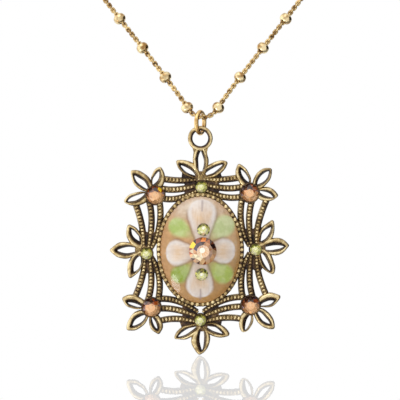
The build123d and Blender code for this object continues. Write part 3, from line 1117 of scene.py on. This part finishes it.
# Strands with their rows of grains, and the webs between them
for name, side in sides.items():
    outward = polar(side.angle, 1.0)
    start = side_place(name)
    hub = hub_place(name)
    add_plate(cast, ellipse(HUB_BOSS, HUB_BOSS, 20, hub), HUB_HEIGHT, HUB_POLISH)
    for corner, shift in ((side.first, side.first_shift), (side.second, side.second_shift)):
        end = corner_place(corner)
        lines = {}
        for strand, shares in strands[name].items():
            lines[strand] = [
                start + (end - start) * station + outward * (share + shift) * STRAND_FAN
                for station, share in zip(stations, shares)
            ]
            add_strand(cast, lines[strand], corner)
        first, middle, last = side_petals[name]
        flank = max(first, last, key=lambda petal: polar(petal.angle, 1.0).dot(end - hub))
        add_webs(cast, hub, lines, flank, side.angle)

# Oval collar, back plate and ring of grains
collar_loops = []
collar_polish_and_shade = []
for share, height, shaded, lit in collar_section:
    loop = collar_oval(share * COLLAR_WIDTH, 120)
    collar_loops.append(raised(loop, height))
    # Painted shade where the collar faces the lower right, painted light where it faces the upper left
    collar_polish_and_shade.append([shade_by_facing(shaded, lit, place) for place in loop])
cast.loft(collar_loops, collar_polish_and_shade, closed=True)
add_plate(cast, collar_oval(COLLAR_OVERLAP, 96), CABOCHON_FLOOR - PLATE_GAP, PLATE_POLISH)
grain_oval = collar_oval(COLLAR_GRAIN_OUT, 720)
grain_route = Route(grain_oval + grain_oval[:1])
for index in range(COLLAR_GRAINS):
    heading = grain_route.at(grain_route.length * index / COLLAR_GRAINS)[1]
    place = grain_oval[grain_route.spot]
    add_grain(cast, place, heading, COLLAR_GRAIN, COLLAR_GRAIN, COLLAR_GRAIN_LEVEL, 16, 6)

# Settings of the stones
for name in corners:
    add_seat(cast, corner_place(name), CORNER_DIAMETER, CORNER_WALL, CORNER_BEZEL)
for name in sides:
    add_seat(cast, side_place(name), SIDE_DIAMETER, SIDE_WALL, SIDE_BEZEL)

# Bail ring, with painted shade on its inside and darker round its outermost edge, and the foot that it
# stands on
bail_centre = on_pendant(0.0, BAIL_HEIGHT, BAIL_FORWARD)
bail_polish_and_shade = []
# Painted shade on the inner side of the wire, and a darker band at its outermost edge
for step in range(16):
    outward = math.cos(2 * math.pi * step / 16)
    bail_polish_and_shade.append(0.88 * smooth_step(-0.55, 0.15, outward) - 0.25 * smooth_step(0.85, 1.0, outward))
loops = ring_loops(bail_centre, FRONT, BAIL_DIAMETER, BAIL_WIRE, 64, 16)
cast.loft(loops, [bail_polish_and_shade] * 64, closed=True)
for side in (-1, 1):
    shoulder = [Vector((side * x, z)) for x, z in BAIL_SHOULDER]
    add_plate(cast, shoulder, CAST_HEIGHT - SHOULDER_DROP, SHOULDER_POLISH)
add_shells("cast_frame", cast, antique_brass(), "pendant", "pendant_frame", sharp_angle=60)


# Cabochon

dome_radius = ((CABOCHON_WIDTH / 2) ** 2 + CABOCHON_DOME ** 2) / (2 * CABOCHON_DOME)
dome_stretch = CABOCHON_WIDTH / CABOCHON_HEIGHT
dome_base = CABOCHON_GIRDLE + CABOCHON_DOME - dome_radius
paint = {
    "ground": linear(188, 150, 106),
    "pale_top": linear(234, 224, 208),
    "low_right": linear(178, 142, 86),
    "right": linear(206, 184, 152),
    "middle": linear(206, 166, 130),
    # Darker paint for the collar's shadow, painted round the cabochon's rim
    "edge": linear(166, 116, 66),
    "light_cloud": linear(208, 160, 112),
    "dark_cloud": linear(150, 110, 62),
    "leaf_base": linear(206, 206, 160),
    "leaf_light": linear(204, 210, 164),
    "leaf_dark": linear(140, 166, 80),
    "petal": linear(219, 189, 156),
    "petal_shade_line": linear(122, 92, 78),
    "petal_heart": linear(221, 214, 210),
    "petal_base_shadow": linear(198, 174, 154),
    "light_streak": linear(238, 230, 222),
    "dark_streak": linear(196, 172, 154),
    "crease": linear(150, 132, 132),
}

# Painted buds: base, tip, half width at the base and at the widest, where along it is widest, colour
Bud = namedtuple("Bud", "base tip narrow wide widest colour", defaults=[paint["petal"]])
painted_petals = [
    Bud((0.3, 1.2), (0.4, 11.35), 0.7, 3.15, 0.72),
    Bud((-1.0, -0.45), (-7.75, -0.7), 0.8, 2.85, 0.66),
    Bud((1.0, -0.2), (7.85, -0.15), 0.8, 2.8, 0.66),
    Bud((0.0, -2.0), (-0.2, -10.75), 0.9, 3.0, 0.70),
]
painted_leaves = [
    Bud((-1.4, 3.0), (-6.9, 6.3), 0.3, 1.95, 0.66, linear(172, 188, 112)),
    Bud((1.2, 2.4), (7.3, 6.9), 0.3, 2.35, 0.66, linear(200, 206, 156)),
    Bud((-0.8, -2.8), (-6.3, -6.6), 0.3, 1.95, 0.68, linear(138, 158, 48)),
    Bud((1.2, -2.6), (7.0, -6.6), 0.3, 2.2, 0.66, linear(174, 190, 94)),
]
painted_creases = [((0.45, 11.0), (0.4, 8.8)), ((0.05, -10.9), (0.05, -8.9))]


def bud_depth(place, bud):
    """How far a place lies inside a bud's outline, its share along the bud, and its place in the bud."""
    base = Vector(bud.base)
    run = Vector(bud.tip) - base
    along = run.normalized()
    offset = place - base
    inner = Vector((-offset.dot(left_of(along)), offset.dot(along)))
    share = inner.y / run.length
    if share <= bud.widest:
        reach = between(bud.narrow, bud.wide, smooth_step(-0.25, 1.0, share / bud.widest))
    else:
        reach = bud.wide * math.sqrt(max(0.0, 1 - ((share - bud.widest) / (1 - bud.widest)) ** 2))
    depth = min(reach - abs(inner.x), (1 - share) * run.length)
    if share < 0:
        depth = bud.narrow - offset.length
    return depth, share, inner


def cloudy(place, pitch, seed):
    """Cloud-like value from 0 to 1 at a flat place, whose patches are about a pitch wide."""
    spot = Vector((place.x / pitch, place.y / pitch, seed * 7.3))
    return smooth_step(-0.45, 0.45, space_noise.fractal(spot, 0.7, 2.0, 4))


def washed(colour, washes):
    """Colour under washes of other paints, each with its strength."""
    for name, strength in washes.items():
        colour = blended(colour, paint[name], strength)
    return colour


def paint_colour(place):
    """Painted colour of the cabochon at a flat place on it."""
    edge = 2 * math.hypot(place.x / CABOCHON_WIDTH, place.y / CABOCHON_HEIGHT)
    colour = washed(paint["ground"], {
        "pale_top": smooth_step(4.5, 11.5, place.y),
        "low_right": smooth_step(-2.0, 10.0, place.x * 0.7 - place.y),
        "right": 0.6 * smooth_step(3.5, 8.0, place.x) * smooth_step(-6.0, 2.0, place.y),
        "middle": 0.5 * (1 - smooth_step(0.35, 0.75, edge)),
        # Painted shadow of the collar round the rim
        "edge": 0.45 * smooth_step(0.80, 1.0, edge),
        "light_cloud": 0.40 * cloudy(place, 2.6, 1),
        "dark_cloud": 0.30 * cloudy(place, 2.0, 2),
    })
    for leaf in painted_leaves:
        depth, share, inner = bud_depth(place, leaf)
        tone = washed(leaf.colour, {
            "leaf_base": 0.4 * (1 - smooth_step(0.0, 0.6, share)),
            "leaf_light": 0.40 * cloudy(place, 1.9, 4),
            "leaf_dark": 0.30 * cloudy(place, 1.5, 5),
        })
        inside = smooth_step(-0.65, 0.60, depth) * between(0.30, 1.0, smooth_step(0.05, 0.45, share))
        colour = blended(colour, tone, inside)
    for petal in painted_petals:
        depth, share, inner = bud_depth(place, petal)
        depth += 0.12 * cloudy(place, 1.8, 6) - 0.06
        # Dark line painted as shade round the lower part of each petal
        rim = math.exp(-((depth + 0.15) / 0.34) ** 2) * (1 - smooth_step(0.55, 0.95, share))
        streak = Vector((inner.x, inner.y * 0.22))
        tone = washed(petal.colour, {
            "petal_heart": max(1 - smooth_step(0.3, 1.7, depth), 0.8 * smooth_step(0.55, 0.95, share)),
            # Painted shadow towards each petal's base
            "petal_base_shadow": 0.75 * (1 - smooth_step(0.15, 0.70, share)),
            "light_streak": 0.32 * cloudy(streak, 0.9, 7),
            "dark_streak": 0.20 * cloudy(streak, 1.1, 8),
        })
        colour = washed(colour, {"petal_shade_line": 0.55 * rim})
        colour = blended(colour, tone, smooth_step(-0.38, 0.46, depth))
    for start, end in painted_creases:
        start = Vector(start)
        run = Vector(end) - start
        share = min(1.0, max(0.0, (place - start).dot(run) / run.length_squared))
        distance = (place - start - run * share).length
        dark = math.exp(-(distance / (0.24 - 0.08 * share)) ** 2)
        colour = washed(colour, {"crease": 0.7 * dark})
    return [max(0.0, value - COAT_VEIL) for value in colour]


def dome_height(x, z):
    """Height of the dome above the plate's back."""
    return dome_base + math.sqrt(max(0.0, dome_radius ** 2 - x ** 2 - (z * dome_stretch) ** 2))


# Dome: its top, rings of points from there to the rim, and the rim again at the flat underside
top = Vector((0.0, 0.0))
dome_places = [(top, dome_height(*top))]
for index in range(1, DOME_RINGS + 1):
    share = index / DOME_RINGS
    rim = ellipse(CABOCHON_WIDTH / 2 * share, CABOCHON_HEIGHT / 2 * share, DOME_SIDES)
    dome_places.extend((place, dome_height(*place)) for place in rim)
dome_places.extend((place, CABOCHON_FLOOR) for place in rim)
dome_faces = [(0, 1 + side, 1 + (side + 1) % DOME_SIDES) for side in range(DOME_SIDES)]
last = 1 + DOME_RINGS * DOME_SIDES
for low in range(1, last, DOME_SIDES):
    high = low + DOME_SIDES
    for side in range(DOME_SIDES):
        after = (side + 1) % DOME_SIDES
        dome_faces.append((low + side, high + side, high + after, low + after))
dome_faces.append(tuple(range(last, len(dome_places))))
dome_points = [on_pendant(*place, height) for place, height in dome_places]
dome_mesh = finish_mesh("painted_dome", dome_points, dome_faces, 60)
layer = dome_mesh.attributes.new("paint", "FLOAT_COLOR", "POINT")
layer.data.foreach_set(
    "color", [value for place, height in dome_places for value in (*paint_colour(place), 1.0)]
)
add_piece(dome_mesh, painted_glass(), "pendant", "cabochon")


# Cut stones

stone_colours = {
    "white": linear(255, 250, 232),
    "cream": linear(246, 224, 184),
    "blush": linear(226, 184, 158),
    "peach": linear(234, 188, 142),
    "apricot": linear(236, 180, 126),
    "tan": linear(206, 148, 100),
    "orange": linear(214, 124, 58),
    "rust": linear(156, 72, 22),
    "brown": linear(110, 58, 32),
    "night": linear(48, 20, 18),
    "violet": linear(142, 118, 122),
    "dusk": linear(66, 48, 62),
    "yellow": linear(250, 208, 30),
    "pale": linear(239, 235, 188),
    "lime": linear(208, 210, 124),
    "citron": linear(206, 202, 84),
    "olive": linear(146, 146, 62),
    "moss": linear(84, 84, 36),
}

# Cuts: the colours painted on the facets in eight directions, as painted reflections of the room that the
# foil behind them would send back: at the table's edge, beside the table, in the middle of the crown and
# at the girdle. The glow is painted light seen through the middle of the table.
Cut = namedtuple("Cut", "glow table star kite girdle")
amber_cut = Cut(
    "white",
    ("peach", "blush", "tan", "blush", "peach", "cream", "apricot", "apricot"),
    ("blush", "tan", "night", "dusk", "tan", "cream", "peach", "blush"),
    ("peach", "night", "orange", "rust", "cream", "apricot", "peach", "apricot"),
    ("tan", "brown", "rust", "night", "rust", "brown", "rust", "tan"),
)
topaz_cut = Cut(
    "peach",
    ("apricot", "tan", "apricot", "apricot", "apricot", "apricot", "apricot", "apricot"),
    ("peach", "rust", "night", "brown", "tan", "peach", "apricot", "apricot"),
    ("tan", "rust", "night", "night", "brown", "tan", "apricot", "peach"),
    ("violet", "dusk", "night", "rust", "violet", "tan", "apricot", "peach"),
)
green_cut = Cut(
    "pale",
    ("lime", "pale", "pale", "pale", "lime", "lime", "lime", "lime"),
    ("pale", "lime", "olive", "lime", "pale", "pale", "pale", "lime"),
    ("lime", "citron", "moss", "olive", "lime", "pale", "pale", "lime"),
    ("lime", "olive", "moss", "moss", "citron", "lime", "citron", "lime"),
)
deep_green_cut = Cut(
    "white",
    ("lime", "pale", "pale", "lime", "lime", "lime", "citron", "lime"),
    ("pale", "citron", "moss", "olive", "lime", "pale", "pale", "pale"),
    ("lime", "moss", "olive", "moss", "citron", "lime", "pale", "lime"),
    ("olive", "moss", "moss", "moss", "moss", "olive", "citron", "moss"),
)


# Kinds of stone, with the number of facets round the table
StoneKind = namedtuple("StoneKind", "diameter height cut fold material slot")
centre_kind = StoneKind(CENTRE_DIAMETER, CENTRE_HEIGHT, amber_cut, 12, amber, "amber_crystal")
accent_kind = StoneKind(ACCENT_DIAMETER, ACCENT_HEIGHT, deep_green_cut, 8, green, "green_crystal")
corner_kind = StoneKind(CORNER_DIAMETER, CORNER_HEIGHT, topaz_cut, 8, topaz, "topaz_crystal")
side_kind = StoneKind(SIDE_DIAMETER, SIDE_HEIGHT, green_cut, 8, green, "green_crystal")


def cut_stone(node, kind, origin, facing, seed, glint=None):
    """Round stone with a brilliant's crown, whose facets take the colours of their painted reflections
    from its kind's cut.
    """
    dice = random.Random(seed)
    cut = kind.cut
    fold = kind.fold
    rise = facing.normalized()
    turned = rise.to_track_quat("Z", "Y").to_matrix()
    right = turned @ Vector((1.0, 0.0, 0.0))
    up = turned @ Vector((0.0, 1.0, 0.0))
    if abs(right.x) < abs(up.x):
        right, up = up, right
    right = right if right.x > 0 else -right
    up = up if up.z > 0 else -up
    girdle = kind.diameter / 2
    table = girdle * TABLE_RADIUS
    waist = girdle * WAIST_RADIUS
    girdle_level = kind.height * GIRDLE_LEVEL
    slope = (kind.height - girdle_level) / (girdle - table)
    waist_level = kind.height - slope * (waist * math.cos(math.pi / fold) - table)
    points = []
    faces = []
    colours = []

    def point(flat, level):
        points.append(origin + (right * flat.x + up * flat.y + rise * level) * MM)
        return len(points) - 1

    def plain_facet(indices, colour):
        faces.append(indices)
        colours.append(colour)

    def facet(indices, angle, band):
        low = int(angle // 45) % 8
        share = angle / 45 - angle // 45
        # A facet's colour is a painted reflection of the room, lighter or darker at random, or a painted
        # yellow glint
        colour = stone_colours[band[(low + 1) % 8 if dice.random() < share else low]]
        shade = dice.uniform(*FACET_SHADES)
        colour = [value * shade for value in colour]
        if glint and band is not cut.star and abs((angle - glint + 180) % 360 - 180) < GLINT_SPREAD:
            colour = stone_colours["yellow"]
        plain_facet(indices, colour)

    step = 360.0 / fold
    shift = polar(GLOW_ANGLE, table * GLOW_SHIFT)
    centre = point(shift, kind.height)
    inner = [point(polar(step * (i + 0.5), table * GLOW_RADIUS) + shift, kind.height) for i in range(fold)]
    rim = [point(polar(step * i, table), kind.height) for i in range(fold)]
    belt = [point(polar(step * (i + 0.5), waist), waist_level) for i in range(fold)]
    edge = [point(polar(step / 2 * i, girdle), girdle_level) for i in range(2 * fold)]
    foot = [point(polar(step / 2 * i, girdle), 0.0) for i in range(2 * fold)]
    glow = stone_colours[cut.glow]
    for i in range(fold):
        angle = step * i
        before = (i - 1) % fold
        after = (i + 1) % fold
        tone = stone_colours[cut.table[int(angle // 45) % 8]]
        plain_facet((centre, inner[before], inner[i]), glow)
        plain_facet((rim[i], inner[i], inner[before]), tone)
        plain_facet((rim[i], rim[after], inner[i]), blended(tone, glow, 0.3))
        facet((rim[i], belt[i], rim[after]), angle + step * 0.5, cut.star)
        facet((rim[i], belt[before], belt[i]), angle, cut.star)
        facet((belt[before], edge[2 * i], belt[i]), angle, cut.kite)
        facet((belt[i], edge[2 * i], edge[2 * i + 1]), angle + step * 0.27, cut.girdle)
        facet((belt[i], edge[2 * i + 1], edge[(2 * i + 2) % (2 * fold)]), angle + step * 0.73, cut.kite)
    for i in range(2 * fold):
        after = (i + 1) % (2 * fold)
        facet((edge[i], foot[i], foot[after], edge[after]), step / 2 * (i + 0.5), cut.girdle)
    plain_facet(tuple(foot), stone_colours[cut.girdle[2]])
    mesh = finish_mesh(node.replace("stone", "crystal"), points, faces, 0)
    layer = mesh.attributes.new("facet", "FLOAT_COLOR", "CORNER")
    values = []
    for polygon, colour in zip(mesh.polygons, colours):
        values.extend([*colour, 1.0] * polygon.loop_total)
    layer.data.foreach_set("color", values)
    add_piece(mesh, kind.material, "pendant", node)


DomeStone = namedtuple("DomeStone", "node kind x z glint", defaults=[None])
dome_stones = [
    DomeStone("centre_stone", centre_kind, 0.55, -0.15, 146),
    DomeStone("cabochon_stone_upper", accent_kind, 0.7, 4.65),
    DomeStone("cabochon_stone_lower", accent_kind, 0.3, -5.4),
]
for seed, stone in enumerate(dome_stones):
    top = dome_height(stone.x, stone.z)
    facing = Vector((stone.x, -(top - dome_base), stone.z * dome_stretch ** 2)).normalized()
    sink = (stone.kind.diameter / 2) ** 2 / (2 * dome_radius)
    origin = on_pendant(stone.x, stone.z, top) - facing * sink * MM
    cut_stone(stone.node, stone.kind, origin, facing, seed + 3, stone.glint)
for seed, name in enumerate(corners):
    origin = on_pendant(*corner_place(name), SEAT_LEVEL)
    glint = 48 if name == "upper_left" else None
    cut_stone("corner_stone_" + name, corner_kind, origin, FRONT, seed + 20, glint)
for seed, name in enumerate(sides):
    origin = on_pendant(*side_place(name), SEAT_LEVEL)
    cut_stone("side_stone_" + name, side_kind, origin, FRONT, seed + 40)
